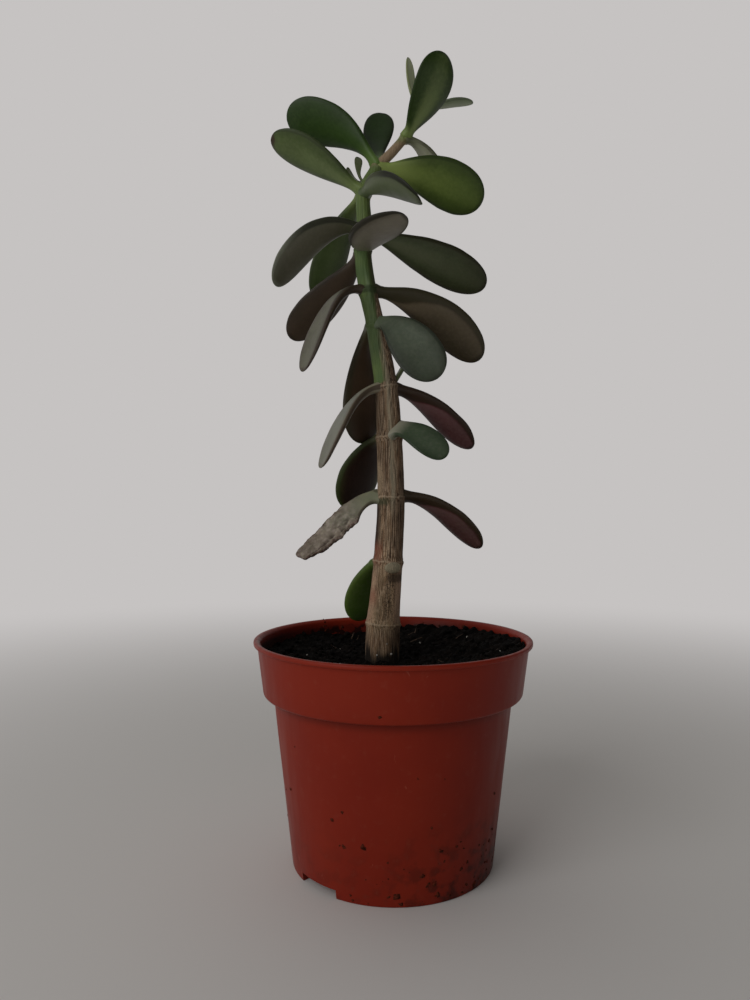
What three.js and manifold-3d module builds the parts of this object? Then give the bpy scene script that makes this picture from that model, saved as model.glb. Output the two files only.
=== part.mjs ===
// A young jade plant (Crassula ovata) standing in a round plastic nursery pot.
// Millimetres, +Z up. The origin is on the pot's axis, on the surface the pot stands on.
// -Y is the plant's front, +X its right. Azimuths turn from +X (0) to the back, +Y (90).

import * as THREE from "three";
import { mergeVertices } from "three/addons/utils/BufferGeometryUtils.js";
import Module from "manifold-3d";

const wasm = await Module();
wasm.setup();

// ---------------------------------------------------------------- driving dimensions

const SEAT_GAP = 0.3; // clearance between pieces that rest against each other
const FACET_ALLOWANCE = 0.12; // extra where two rounds with different facets nest

const POT = {
  rimRadius: 60,
  height: 95,
  wall: 1.3,
  sides: 60,
  footRadius: 43.2,
  footWidth: 2.4,
  shoulderRadius: 51.45, // lower wall where it meets the collar
  collarBottom: 72.2,
  collarRadius: 55.7, // outside of the collar at its rounded lower edge
  collarTopRadius: 58.4,
  collarRounding: 1.4,
  lipDepth: 1.9,
  lipRounding: 0.7,
  rimWidth: 1.7, // across the lip's top, from its outside to its inner edge
  footRounding: 0.5,
  floorBottom: 4,
  floorThickness: 1.5,
  drainHoles: 8,
  drainHoleRadius: 3.5,
  drainHoleSides: 16,
  drainCircleRadius: 27,
  notchAzimuths: [225, 45], // gaps in the foot ring that let water out
  notchWidth: 20,
  notchHeight: 3.6,
};

const SOIL = {
  sides: 40,
  centreHeight: 84, // surface beside the stem
  edgeRise: 6, // the surface climbs towards the wall
  rightRise: 2.2, // and lies higher on the right than on the left
  clods: { height: 0.8, lengthX: 15.3, lengthY: 17, ripple: 0.6, rippleLength: 8.1 },
  hollow: { x: -16, y: 46, radius: 12, depth: 3.5 }, // a dip behind the stem
  surfaceRadii: [48, 40, 32, 24, 16, 9],
  holeFloor: 52,
  holeSides: 24,
};

const STEM = {
  sides: 12,
  x: -4.4, // where the stem stands in the soil
  tipHeight: 331,
  ringHeight: 0.5, // raised ring that each pair of leaves leaves round the stem
  ringLength: 1.7,
  ringSpread: 2.2, // from a ring's middle to where it has faded out
  bud: { azimuth: 300, radius: 2.3, flatness: 0.8, drop: 2 }, // drop: below its node
};

const LEAF = {
  sides: 10,
  steps: 10,
  wrinkledSteps: 20,
  crowding: 0.5, // how much closer the steps lie at the tip than at the foot
  lastRing: 0.9985, // share of the length where the tip is closed
  petioleShare: 0.07,
  petioleFade: 1.5,
  petioleWidth: 5,
  petioleSlimness: 0.3, // petiole over blade width, on small leaves
  petioleThickness: 4, // on the oldest leaves; on the youngest it is the blade's
  thickness: 2.8, // of the blade near its tip
  bladeSlimness: 0.15,
  edgeSharpness: 1.3, // 1 gives an elliptic section
  tipBluntness: 5,
  taper: 1,
  cup: 0.1,
  creases: { turn: 34, widening: 0.6, lift: 0.5 },
  pull: 0.36, // length of the middle line's control arms, over the leaf's length
};

// ---------------------------------------------------------------- geometry helpers

const radians = THREE.MathUtils.degToRad;

function onlyPositions(geometry) {
  const bare = geometry.clone();
  for (const name of Object.keys(bare.attributes)) {
    if (name !== "position") bare.deleteAttribute(name);
  }
  return mergeVertices(bare, 1e-4);
}

function toSolid(geometry) {
  const merged = onlyPositions(geometry);
  const vertProperties = new Float32Array(merged.attributes.position.array);
  const triVerts = new Uint32Array(merged.index.array);
  return new wasm.Manifold(new wasm.Mesh({ numProp: 3, vertProperties, triVerts }));
}

function toGeometry(solid) {
  const mesh = solid.getMesh();
  const geometry = new THREE.BufferGeometry();
  geometry.setAttribute("position", new THREE.BufferAttribute(mesh.vertProperties, 3));
  geometry.setIndex(new THREE.BufferAttribute(mesh.triVerts, 1));
  return geometry;
}

// A closed skin through rings of points that all have the same count. The first and
// last rings are closed with a fan to their own middle.
function loft(rings) {
  const count = rings[0].length;
  const positions = rings.flat().flatMap((p) => [p.x, p.y, p.z]);
  const index = [];
  for (let r = 0; r + 1 < rings.length; r += 1) {
    for (let k = 0; k < count; k += 1) {
      const a = r * count + k;
      const b = r * count + ((k + 1) % count);
      index.push(a, b, b + count, a, b + count, a + count);
    }
  }
  const addCap = (ring, first, outward) => {
    const middle = new THREE.Vector3();
    ring.forEach((p) => middle.addScaledVector(p, 1 / count));
    const centre = positions.length / 3;
    positions.push(middle.x, middle.y, middle.z);
    for (let k = 0; k < count; k += 1) {
      const a = first + k;
      const b = first + ((k + 1) % count);
      if (outward) index.push(a, b, centre);
      else index.push(b, a, centre);
    }
  };
  addCap(rings[0], 0, false);
  addCap(rings[rings.length - 1], (rings.length - 1) * count, true);
  const geometry = new THREE.BufferGeometry();
  geometry.setAttribute("position", new THREE.Float32BufferAttribute(positions, 3));
  geometry.setIndex(index);
  return geometry;
}

// A profile of [radius, height] points turned round the Z axis.
function turned(profile, sides) {
  const points = profile.map(([radius, height]) => new THREE.Vector2(radius, height));
  return new THREE.LatheGeometry(points, sides).rotateX(Math.PI / 2);
}

function upright(radius, bottom, top, x, y, sides) {
  const geometry = new THREE.CylinderGeometry(radius, radius, top - bottom, sides);
  geometry.rotateX(Math.PI / 2);
  geometry.translate(x, y, (top + bottom) / 2);
  return geometry;
}

function makeMesh(name, geometry, color, roughness) {
  geometry.computeVertexNormals();
  const material = new THREE.MeshStandardMaterial({ color, roughness, metalness: 0 });
  const mesh = new THREE.Mesh(geometry, material);
  mesh.name = name;
  return mesh;
}

// ---------------------------------------------------------------- pot

function wallRadius(height) {
  const share = height / POT.collarBottom;
  return THREE.MathUtils.lerp(POT.footRadius, POT.shoulderRadius, share);
}

function collarRadiusAt(height) {
  const share = (height - POT.collarBottom) / (POT.height - POT.lipDepth - POT.collarBottom);
  return THREE.MathUtils.lerp(POT.collarRadius, POT.collarTopRadius, share);
}

function potProfile() {
  const { wall, height, rimRadius, footRadius, collarBottom, collarRadius } = POT;
  const floorTop = POT.floorBottom + POT.floorThickness;
  const footInside = footRadius - POT.footWidth;
  const lipBottom = height - POT.lipDepth;
  const foot = POT.footRounding;
  const collar = POT.collarRounding;
  const lip = POT.lipRounding;
  const outside = [
    [0, POT.floorBottom],
    [footInside, POT.floorBottom],
    [footInside, 0],
    [footRadius - foot, 0],
    [footRadius, foot],
    [wallRadius(collarBottom / 2), collarBottom / 2],
    [wallRadius(collarBottom), collarBottom],
    [collarRadius - collar, collarBottom],
    [collarRadius - 0.3 * collar, collarBottom + 0.3 * collar],
    [collarRadiusAt(collarBottom + collar), collarBottom + collar],
    [collarRadiusAt(lipBottom), lipBottom],
    [rimRadius - 0.4 * lip, lipBottom + 0.3 * lip],
    [rimRadius, lipBottom + lip],
    [rimRadius, height - lip],
    [rimRadius - 0.4 * lip, height - 0.2 * lip],
    [rimRadius - lip, height],
  ];
  const inside = [
    [rimRadius - POT.rimWidth, height - 0.3 * lip],
    [collarRadiusAt(lipBottom) - wall, lipBottom + lip],
    [collarRadiusAt(collarBottom + wall) - wall, collarBottom + wall],
    [wallRadius(collarBottom) - wall, collarBottom + wall],
    [wallRadius(floorTop) - wall, floorTop],
    [0, floorTop],
  ];
  return [...outside, ...inside];
}

function makePot() {
  let solid = toSolid(turned(potProfile(), POT.sides));
  for (let hole = 0; hole < POT.drainHoles; hole += 1) {
    const angle = radians((hole + 0.5) * (360 / POT.drainHoles));
    const x = POT.drainCircleRadius * Math.cos(angle);
    const y = POT.drainCircleRadius * Math.sin(angle);
    const bottom = POT.floorBottom - 1;
    const top = POT.floorBottom + POT.floorThickness + 1;
    const drill = upright(POT.drainHoleRadius, bottom, top, x, y, POT.drainHoleSides);
    solid = solid.subtract(toSolid(drill));
  }
  for (const azimuth of POT.notchAzimuths) {
    const notch = new THREE.BoxGeometry(4 * POT.footWidth, POT.notchWidth, 2 * POT.notchHeight);
    notch.translate(POT.footRadius, 0, 0);
    notch.rotateZ(radians(azimuth));
    solid = solid.subtract(toSolid(notch));
  }
  return makeMesh("pot", toGeometry(solid), 0x9c3522, 0.5);
}

// ---------------------------------------------------------------- soil

// Height of the soil: higher towards the wall, with clods as crossed waves.
function soilHeight(x, y) {
  const { clods, hollow } = SOIL;
  const turn = 2 * Math.PI;
  const waves = Math.sin((turn * x) / clods.lengthX) * Math.cos((turn * y) / clods.lengthY);
  const ripple = clods.ripple * Math.sin((turn * (x - y)) / clods.rippleLength);
  const away = Math.hypot(x - hollow.x, y - hollow.y) / hollow.radius;
  const dip = hollow.depth * Math.exp(-away * away);
  const outward = Math.hypot(x, y) / POT.collarRadius;
  const bowl = SOIL.edgeRise * outward ** 2 + (SOIL.rightRise * x) / POT.collarRadius;
  return SOIL.centreHeight + bowl + clods.height * (waves + ripple) - dip;
}

function makeSoil() {
  const floorTop = POT.floorBottom + POT.floorThickness + SEAT_GAP;
  const shelf = POT.collarBottom + POT.wall + SEAT_GAP;
  const clearance = POT.wall + SEAT_GAP + FACET_ALLOWANCE;
  const surface = SOIL.centreHeight;
  const profile = [
    [0, floorTop],
    [wallRadius(floorTop) - clearance, floorTop],
    [wallRadius(POT.collarBottom) - clearance, shelf],
    [collarRadiusAt(shelf) - clearance, shelf],
    [collarRadiusAt(surface) - clearance, surface],
    ...SOIL.surfaceRadii.map((radius) => [radius, surface]),
    [0, surface],
  ];
  const geometry = onlyPositions(turned(profile, SOIL.sides));
  const place = geometry.attributes.position;
  for (let i = 0; i < place.count; i += 1) {
    if (place.getZ(i) > surface - 1) {
      place.setZ(i, soilHeight(place.getX(i), place.getY(i)));
    }
  }
  const holeRadius = stemRadius(SOIL.centreHeight) + SEAT_GAP + FACET_ALLOWANCE;
  const hole = upright(holeRadius, SOIL.holeFloor, POT.height, STEM.x, 0, SOIL.holeSides);
  return makeMesh("soil", toGeometry(toSolid(geometry).subtract(toSolid(hole))), 0x1d1713, 0.95);
}

// ---------------------------------------------------------------- stem

// The line the stem grows along, from its buried foot to the shoot's tip.
const STEM_LINE = new THREE.CatmullRomCurve3(
  [
    [STEM.x, 0, SOIL.holeFloor + SEAT_GAP],
    [STEM.x, 0, 80],
    [-4.2, 0, 99],
    [-2.2, 0, 125],
    [-0.8, 0, 152],
    [-1.3, 0, 178],
    [-2.9, 0, 204],
    [-7.5, 0, 231],
    [-11.2, 0, 248],
    [-12.9, 0, 262],
    [-12.5, 0, 276],
    [-12.6, 0, 288],
    [-7.5, 0, 299],
    [0.5, 0, 307.5],
    [7.5, 2, 317],
    [15, 6.4, 333],
  ].map(([x, y, z]) => new THREE.Vector3(x, y, z)),
  false,
  "centripetal",
);

// Stem radius at a height, between these [height, radius] pairs.
const STEM_RADII = [
  [0, 7.6],
  [90, 7.6],
  [99, 7.3],
  [111, 6.7],
  [125, 6.3],
  [150, 6.0],
  [178, 5.6],
  [200, 5.1],
  [220, 4.5],
  [232, 4.0],
  [255, 3.8],
  [282, 3.2],
  [292, 2.9],
  [300, 2.25],
  [318, 1.7],
  [324, 1.45],
  [400, 0.8],
];

// Heights of the stem's nodes. The first has lost its leaves, the others are numbered.
const NODE_HEIGHTS = [101, 128, 156, 182, 204, 231, 246, 264, 272, 289, 300, 314, 328];

function stemRadius(height) {
  const upper = STEM_RADII.findIndex(([z]) => z > height);
  const [z0, r0] = STEM_RADII[upper - 1];
  const [z1, r1] = STEM_RADII[upper];
  return THREE.MathUtils.mapLinear(height, z0, z1, r0, r1);
}

function stemAt(height) {
  let low = 0;
  let high = 1;
  for (let round = 0; round < 40; round += 1) {
    const middle = (low + high) / 2;
    if (STEM_LINE.getPoint(middle).z < height) low = middle;
    else high = middle;
  }
  return { point: STEM_LINE.getPoint(low), tangent: STEM_LINE.getTangent(low) };
}

function nodeSwelling(height) {
  return NODE_HEIGHTS.reduce((sum, node) => {
    const share = (height - node) / STEM.ringLength;
    return sum + STEM.ringHeight * Math.exp(-share * share);
  }, 0);
}

function stemStations(top) {
  const foot = SOIL.holeFloor + SEAT_GAP;
  const between = [80, 90, 112, 140, 169, 193, 217, 238, 255, 280, 307, 321];
  const stations = [foot, foot + 14, ...between, top];
  for (const node of NODE_HEIGHTS) {
    stations.push(node - STEM.ringSpread, node, node + STEM.ringSpread);
  }
  return stations.sort((a, b) => a - b);
}

// The stem's skin, or one that stands a clearance outside it.
function stemGeometry(clearance = 0) {
  const rings = stemStations(STEM.tipHeight + clearance).map((height) => {
    const { point, tangent } = stemAt(height);
    const right = new THREE.Vector3(0, 1, 0).cross(tangent).normalize();
    const back = tangent.clone().cross(right);
    const radius = stemRadius(height) + nodeSwelling(height) + clearance;
    return Array.from({ length: STEM.sides }, (_, side) => {
      const angle = (2 * Math.PI * side) / STEM.sides;
      return point
        .clone()
        .addScaledVector(right, radius * Math.cos(angle))
        .addScaledVector(back, radius * Math.sin(angle));
    });
  });
  return loft(rings);
}

// The bud left on the front of the first node by its fallen leaf.
function budGeometry() {
  const { azimuth, radius, flatness } = STEM.bud;
  const height = NODE_HEIGHTS[1] - STEM.bud.drop;
  const place = stemAt(height).point.addScaledVector(direction(azimuth, 0), stemRadius(height));
  const bud = new THREE.SphereGeometry(radius, 10, 8);
  bud.scale(1, 1, flatness);
  return bud.translate(place.x, place.y, place.z);
}

function makeStem() {
  const solid = toSolid(stemGeometry()).add(toSolid(budGeometry()));
  return makeMesh("stem", toGeometry(solid), 0x7d6f5a, 0.8);
}

// ---------------------------------------------------------------- leaves

// name: rows that share one name are joined into one piece, a young side shoot.
// node: the stem node it grows from. azimuth: where its tip points.
// reach, rise: its tip's distance from the stem's middle and its height over the node.
// leave, arrive: its slope at the stem and at its tip, in degrees, up is positive.
// width: of the blade. roll: of the blade about the leaf's own length, in degrees.
// extras: sway bends it sideways in degrees, lift raises its foot above the node, taper
// above 1 moves the widest place towards the tip, wrinkle is the depth of its creases.
const LEAVES = [
  // name, node, azimuth, reach, rise, leave, arrive, width, roll, extras
  ["leaf_1_back", 1, 125, 22, -29, 5, -75, 20, 0],
  ["leaf_2_left", 2, 188, 41.3, -25, 8, -15, 12, -45, { taper: 0.6, wrinkle: 1 }],
  ["leaf_2_right", 2, 12, 41, -23, 10, -48, 16.5, -25],
  ["leaf_3_back", 3, 125, 30, -32, 10, -70, 22, 0],
  ["leaf_3_front", 3, 325, 28, -10, 50, -50, 14, 40, { sway: -25 }],
  ["leaf_4_left", 4, 202, 30, -36, 0, -64, 17, 0],
  ["leaf_4_right", 4, 18, 41, -26, -3, -42, 16, -25],
  ["leaf_4_young", 4, 15, 11, 17, 50, 60, 6, 0, { lift: -2 }],
  ["leaf_5_back", 5, 120, 12, -51, 0, -85, 19, 0, { taper: 1.3 }],
  ["leaf_5_front", 5, 320, 33, -27, 10, -55, 20, 55, { sway: -20 }],
  ["leaf_6_left", 6, 202, 29.5, -37.3, 16, -70, 15, -12],
  ["leaf_6_right", 6, 14, 52, -28, 2, -50, 19.5, -50],
  ["leaf_7_back", 7, 148, 40.5, -34, -36, -45, 19, 26, { sway: -25 }],
  ["leaf_7_front", 7, 304, 32, 4, 0, 12, 21.5, 0, { sway: -30, lift: 0.7, taper: 0.6 }],
  ["leaf_8_left", 8, 192, 38.5, -26, 25, -65, 16, 45, { taper: 0.8 }],
  ["leaf_8_right", 8, 12, 56, -21, -15, -25, 19, -50],
  ["leaf_9_back", 9, 125, 38, -40, -20, -65, 18, 0],
  ["leaf_9_front", 9, 308, 38, -15, 0, -45, 16, -30, { sway: -25, lift: -1 }],
  ["leaf_9_left", 9, 180, 41, 23, 35, 15, 18, 30],
  ["shoot_9", 9, 118, 8.5, 15, 20, 50, 3.8, 0, { lift: 4, taper: 2, sway: 34 }],
  ["shoot_9", 9, 130, 14, 12, 20, 80, 4, 0, { lift: 4 }],
  ["shoot_9", 9, 140, 23, 8, 10, 0, 8, 0, { lift: 4, sway: -30 }],
  ["leaf_10_left", 10, 170, 41, 24.5, 65, 0, 20, 50, { taper: 1.2 }],
  ["leaf_10_back", 10, 89.5, 17.5, 30.5, 40, 65, 13.8, 0, { taper: 1.1, lift: 2.5, sway: 25 }],
  ["leaf_10_right", 10, 5, 46, -15, 0, -35, 22, -50],
  ["leaf_11_front", 11, 315, 22, 28, 40, 75, 21, 0, { taper: 0.9 }],
  ["leaf_11_back", 11, 29, 21, -21.5, 15, -70, 13, 0, { lift: -1 }],
  ["leaf_12_left", 12, 140, 7, 26, 50, 80, 6, 0],
  ["leaf_12_right", 12, 355, 23, 2, 10, -10, 7, 0],
];

// Share of the blade's full half width at a share of the leaf's length: none along the
// petiole, widest past the middle, and a round tip.
function bladeShare(along, taper) {
  const blade = Math.max(0, (along - LEAF.petioleShare) / (1 - LEAF.petioleShare));
  const peak = taper / (taper + 0.5);
  return (blade ** taper * Math.sqrt(1 - blade)) / (peak ** taper * Math.sqrt(1 - peak));
}

function direction(azimuth, slope) {
  const a = radians(azimuth);
  const s = radians(slope);
  return new THREE.Vector3(Math.cos(a) * Math.cos(s), Math.sin(a) * Math.cos(s), Math.sin(s));
}

// The leaf's middle line: it leaves the stem and reaches its tip at the given slopes.
function leafLine(start, azimuth, reach, rise, leave, arrive, sway) {
  const tip = start.clone().addScaledVector(direction(azimuth, 0), reach);
  tip.z += rise;
  const pull = LEAF.pull * start.distanceTo(tip);
  const afterStart = start.clone().addScaledVector(direction(azimuth + sway, leave), pull);
  const beforeTip = tip.clone().addScaledVector(direction(azimuth - sway, arrive), -pull);
  return new THREE.CubicBezierCurve3(start, afterStart, beforeTip, tip);
}

// Flat lens-shaped sections along the middle line, with the blade's sides cupped up.
function leafGeometry([, node, azimuth, reach, rise, leave, arrive, width, roll, extras = {}]) {
  const { sway = 0, lift = 0, taper = LEAF.taper, wrinkle = 0 } = extras;
  const start = stemAt(NODE_HEIGHTS[node] + lift).point;
  const line = leafLine(start, azimuth, reach, rise, leave, arrive, sway);
  const level = direction(azimuth + 90, 0);
  const petioleHalf = 0.5 * Math.min(LEAF.petioleWidth, width * LEAF.petioleSlimness);
  const youth = node / (NODE_HEIGHTS.length - 1);
  const petioleThickness = THREE.MathUtils.lerp(LEAF.petioleThickness, LEAF.thickness, youth);
  const footThickness = Math.min(petioleThickness, width * LEAF.bladeSlimness * 2);
  const bladeThickness = Math.min(LEAF.thickness, width * LEAF.bladeSlimness * 2);
  const steps = wrinkle ? LEAF.wrinkledSteps : LEAF.steps;
  const rings = [];
  for (let step = 0; step <= steps; step += 1) {
    const share = step / steps;
    const crowded = share * (1 + LEAF.crowding * (1 - share));
    const along = Math.min(crowded, LEAF.lastRing);
    const middle = line.getPointAt(along);
    const tangent = line.getTangentAt(along);
    const side = level.clone().addScaledVector(tangent, -level.dot(tangent)).normalize();
    side.applyAxisAngle(tangent, radians(roll));
    const up = tangent.clone().cross(side);
    const crease = wrinkle * Math.sin(along * LEAF.creases.turn) * Math.sin(along * Math.PI);
    const blade = 0.5 * width * bladeShare(along, taper);
    const petiole = petioleHalf * (1 - along) ** LEAF.petioleFade;
    const halfWidth = Math.hypot(blade, petiole) + LEAF.creases.widening * crease;
    const thickness = THREE.MathUtils.lerp(footThickness, bladeThickness, along);
    const halfThickness = 0.5 * thickness * Math.sqrt(1 - along ** LEAF.tipBluntness);
    const ring = [];
    for (let k = 0; k < LEAF.sides; k += 1) {
      const angle = (2 * Math.PI * k) / LEAF.sides;
      const across = Math.cos(angle);
      const above = Math.sin(angle);
      const lens = Math.sign(above) * Math.abs(above) ** LEAF.edgeSharpness;
      const cupped = LEAF.cup * blade * (across * across - 0.4);
      const height = halfThickness * lens + cupped + LEAF.creases.lift * crease * across;
      const point = middle.clone().addScaledVector(side, halfWidth * across);
      ring.push(point.addScaledVector(up, height));
    }
    rings.push(ring);
  }
  return loft(rings);
}

const youngGreen = new THREE.Color(0x4f6b2a);
const oldGreen = new THREE.Color(0x4d5547);
const GREENING_HEIGHTS = [150, 300]; // leaves turn from old to young green between these

function makeLeaf(name, rows, stemClearance) {
  const solids = rows.map((row) => toSolid(leafGeometry(row)));
  const joined = solids.reduce((whole, solid) => whole.add(solid));
  const youth = THREE.MathUtils.smoothstep(NODE_HEIGHTS[rows[0][1]], ...GREENING_HEIGHTS);
  const color = oldGreen.clone().lerp(youngGreen, youth);
  return makeMesh(name, toGeometry(joined.subtract(stemClearance)), color, 0.45);
}

// ---------------------------------------------------------------- the whole plant

const plant = new THREE.Group();
plant.add(makePot(), makeSoil(), makeStem());
const stemClearance = toSolid(stemGeometry(SEAT_GAP));
for (const name of new Set(LEAVES.map((row) => row[0]))) {
  const rows = LEAVES.filter((row) => row[0] === name);
  plant.add(makeLeaf(name, rows, stemClearance));
}

export default plant;
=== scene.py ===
"""The looks of a young jade plant in its round nursery pot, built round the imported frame.

Shapes are written in millimetres, in the frame of the solids, and made in metres.
Azimuths turn from +X (0) to the back, +Y (90). Tones are hexadecimal, as in "a0b1c2".
"""

import math
import random
from types import SimpleNamespace as Values

import bmesh
import bpy
from mathutils import Matrix, Vector, noise


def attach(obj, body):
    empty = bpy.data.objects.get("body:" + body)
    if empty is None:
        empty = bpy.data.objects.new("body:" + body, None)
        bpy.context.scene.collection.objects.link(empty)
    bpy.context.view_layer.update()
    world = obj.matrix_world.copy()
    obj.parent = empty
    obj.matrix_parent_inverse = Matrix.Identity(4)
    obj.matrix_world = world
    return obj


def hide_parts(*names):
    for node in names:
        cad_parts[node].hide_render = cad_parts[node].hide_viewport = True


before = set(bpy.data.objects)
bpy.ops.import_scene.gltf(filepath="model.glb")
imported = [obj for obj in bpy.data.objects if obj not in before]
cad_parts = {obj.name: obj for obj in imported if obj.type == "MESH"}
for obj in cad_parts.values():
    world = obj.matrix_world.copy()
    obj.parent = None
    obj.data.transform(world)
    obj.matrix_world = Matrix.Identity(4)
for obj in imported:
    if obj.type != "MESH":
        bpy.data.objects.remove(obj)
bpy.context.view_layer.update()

MM = 0.001
TURN = 2 * math.pi
UP = Vector((0, 0, 1))

# ---- sizes of the solids

SEAT_GAP = 0.3

POT = Values(
    height=95, wall=1.3, rim_radius=60, rim_width=1.7, lip_depth=1.9, lip_rounding=0.9,
    collar_bottom=72.2, collar_radius=55.7, collar_top_radius=58.4, collar_rounding=1.4,
    shoulder_radius=51.45, foot_radius=43.2, foot_width=2.4, foot_rounding=0.5,
    floor_bottom=4, floor_thickness=1.5, drain_holes=8, drain_hole_radius=3.5,
    drain_circle_radius=27, notch_azimuths=(225, 45), notch_width=20, notch_height=3.6,
)
LIP_BOTTOM = POT.height - POT.lip_depth
FLOOR_TOP = POT.floor_bottom + POT.floor_thickness

SOIL = Values(
    centre_height=84, edge_rise=6, right_rise=2.2, clod_height=0.8, length_x=15.3,
    length_y=17, ripple=0.6, ripple_length=8.1, hollow=(-16, 46), hollow_radius=12,
    hollow_depth=3.5,
)

STEM = Values(x=-4.4, foot=52.3, tip=331, ring_height=0.5, ring_length=1.7)
BUD = Values(azimuth=290, radius=3.8, flatness=0.68, drop=2.3, depth=0.42, sunk=0.2)

STEM_LINE = [
    Vector(point)
    for point in (
        (STEM.x, 0, STEM.foot), (STEM.x, 0, 80), (-4.2, 0, 99), (-2.2, 0, 125), (-0.8, 0, 152),
        (-1.3, 0, 178), (-2.9, 0, 204), (-7.5, 0, 231), (-11.2, 0, 248), (-12.9, 0, 262),
        (-12.5, 0, 276), (-12.6, 0, 288), (-7.5, 0, 299), (0.5, 0, 307.5), (7.5, 2, 317),
        (15, 6.4, 333),
    )
]

# the stem's radius at a height
STEM_RADII = (
    (0, 7.6), (90, 7.6), (99, 7.3), (111, 6.7), (125, 6.3), (150, 6.0), (178, 5.6), (200, 5.1),
    (220, 4.5), (232, 4.0), (255, 3.8), (282, 3.2), (292, 2.9), (300, 2.25), (318, 1.7),
    (324, 1.45), (400, 0.8),
)

NODE_HEIGHTS = (101, 128, 156, 182, 204, 231, 246, 264, 272, 289, 300, 314, 328)

LEAF = Values(
    petiole_share=0.07, petiole_fade=1.5, petiole_width=5, petiole_slimness=0.3,
    petiole_thickness=4, thickness=2.8, blade_slimness=0.15, tip_bluntness=5, cup=0.1,
    pull=0.36, crease_turn=34, crease_widening=0.6, crease_lift=0.5,
)

# name, node, azimuth, reach, rise, leave, arrive, width and roll as in the solids, and what
# differs from LEAF_FORM
LEAVES = (
    ("leaf_1_back", 1, 125, 22, -29, 5, -75, 20, 0),
    ("leaf_2_left", 2, 188, 41.3, -25, 8, -15, 12, -45, dict(taper=0.6, wrinkled=True)),
    ("leaf_2_right", 2, 12, 41, -23, 10, -48, 16.5, -25),
    ("leaf_3_back", 3, 125, 30, -32, 10, -70, 22.6, 0),
    ("leaf_3_front", 3, 325, 28, -10, 50, -50, 14, 40, dict(sway=-25, foot=1.6)),
    ("leaf_4_left", 4, 202, 30, -36, 0, -64, 17, 0),
    ("leaf_4_right", 4, 18, 41, -26, -3, -42, 16, -25),
    ("leaf_4_young", 4, 15, 11, 17, 50, 60, 6, 0, dict(lift=-2)),
    ("leaf_5_back", 5, 120, 12, -51, 0, -85, 19, 0, dict(taper=1.3)),
    ("leaf_5_front", 5, 320, 33, -27, 10, -55, 20, 55, dict(sway=-20)),
    ("leaf_6_left", 6, 202, 29.5, -37.3, 16, -70, 15, -12),
    ("leaf_6_right", 6, 14, 52, -28, 2, -50, 19.5, -50),
    ("leaf_7_back", 7, 148, 40.5, -34, -36, -45, 19, 26, dict(sway=-25)),
    ("leaf_7_front", 7, 304, 32, 4, 0, 12, 21.5, 0, dict(sway=-30, lift=0.7, taper=0.6)),
    ("leaf_8_left", 8, 192, 38.5, -26, 25, -65, 16, 45, dict(taper=0.8)),
    ("leaf_8_right", 8, 12, 56, -21, -15, -25, 19, -50),
    ("leaf_9_back", 9, 125, 38, -40, -20, -65, 18, 0),
    ("leaf_9_front", 9, 308, 38, -15, 0, -45, 16, -30, dict(sway=-25, lift=-1)),
    ("leaf_9_left", 9, 180, 41, 23, 35, 15, 18, 30),
    ("shoot_9", 9, 118, 8.5, 15, 20, 50, 3.8, 0, dict(lift=4, taper=2, sway=34)),
    ("shoot_9", 9, 130, 14, 12, 20, 80, 4, 0, dict(lift=4)),
    ("shoot_9", 9, 140, 23, 8, 10, 0, 8, 0, dict(lift=4, sway=-30)),
    ("leaf_10_left", 10, 170, 41, 24.5, 65, 0, 20, 50, dict(taper=1.2)),
    ("leaf_10_back", 10, 89.5, 17.5, 30.5, 40, 65, 13.8, 0, dict(taper=1.1, lift=2.5, sway=25)),
    ("leaf_10_right", 10, 5, 46, -15, 0, -35, 22, -50),
    ("leaf_11_front", 11, 315, 22, 28, 40, 75, 21, 0, dict(taper=0.9)),
    ("leaf_11_back", 11, 29, 21, -21.5, 15, -70, 13, 0, dict(lift=-1)),
    ("leaf_12_left", 12, 140, 7, 26, 50, 80, 6, 0),
    ("leaf_12_right", 12, 355, 23, 2, 10, -10, 7, 0),
)
LEAF_FORM = dict(sway=0, taper=1, lift=0, foot=None, wrinkled=False)

LENS = 27.04
SENSOR = 36
CAMERA_PLACE = Vector((-0.0077, -0.328, 0.1533))
CAMERA_PITCH = 0.23
PHOTO_SIZE = (750, 1000)

# ---- helpers


def lerp(a, b, share):
    return a + (b - a) * share


def smoothstep(value, low, high):
    share = min(1, max(0, (value - low) / (high - low)))
    return share * share * (3 - 2 * share)


def hump(value, middle, width):
    """1 at the middle, fading smoothly to both sides."""
    return math.exp(-(((value - middle) / width) ** 2))


def between(table, height):
    """The value at a height, between the pairs of a table."""
    for (z0, v0), (z1, v1) in zip(table, table[1:]):
        if z1 > height:
            return lerp(v0, v1, (height - z0) / (z1 - z0))
    return table[-1][1]


def direction(azimuth, slope=0.0):
    a, s = math.radians(azimuth), math.radians(slope)
    return Vector((math.cos(a) * math.cos(s), math.sin(a) * math.cos(s), math.sin(s)))


def ripple(point, size, octaves=3):
    """Smooth noise from about -1 to 1 whose largest features measure size, in mm."""
    return noise.fractal(point / size, 1.0, 2.0, octaves)


def placed(name, data):
    """A new object in the scene."""
    made = bpy.data.objects.new(name, data)
    bpy.context.scene.collection.objects.link(made)
    return made


def new_piece(name, shape, material, stands_for=(), marks=None):
    """A smooth mesh from points in mm and faces that rides on the part's one body."""
    points, faces = shape
    mesh = bpy.data.meshes.new(name)
    mesh.from_pydata([(p[0] * MM, p[1] * MM, p[2] * MM) for p in points], [], faces)
    mesh.polygons.foreach_set("use_smooth", [True] * len(mesh.polygons))
    for key, values in (marks or {}).items():
        layer = mesh.attributes.new(key, "FLOAT", "POINT")
        layer.data.foreach_set("value", values)
    mesh.materials.append(material)
    mesh.update()
    piece = placed(name, mesh)
    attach(piece, "root")
    if stands_for:
        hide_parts(*stands_for)
    return piece


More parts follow.
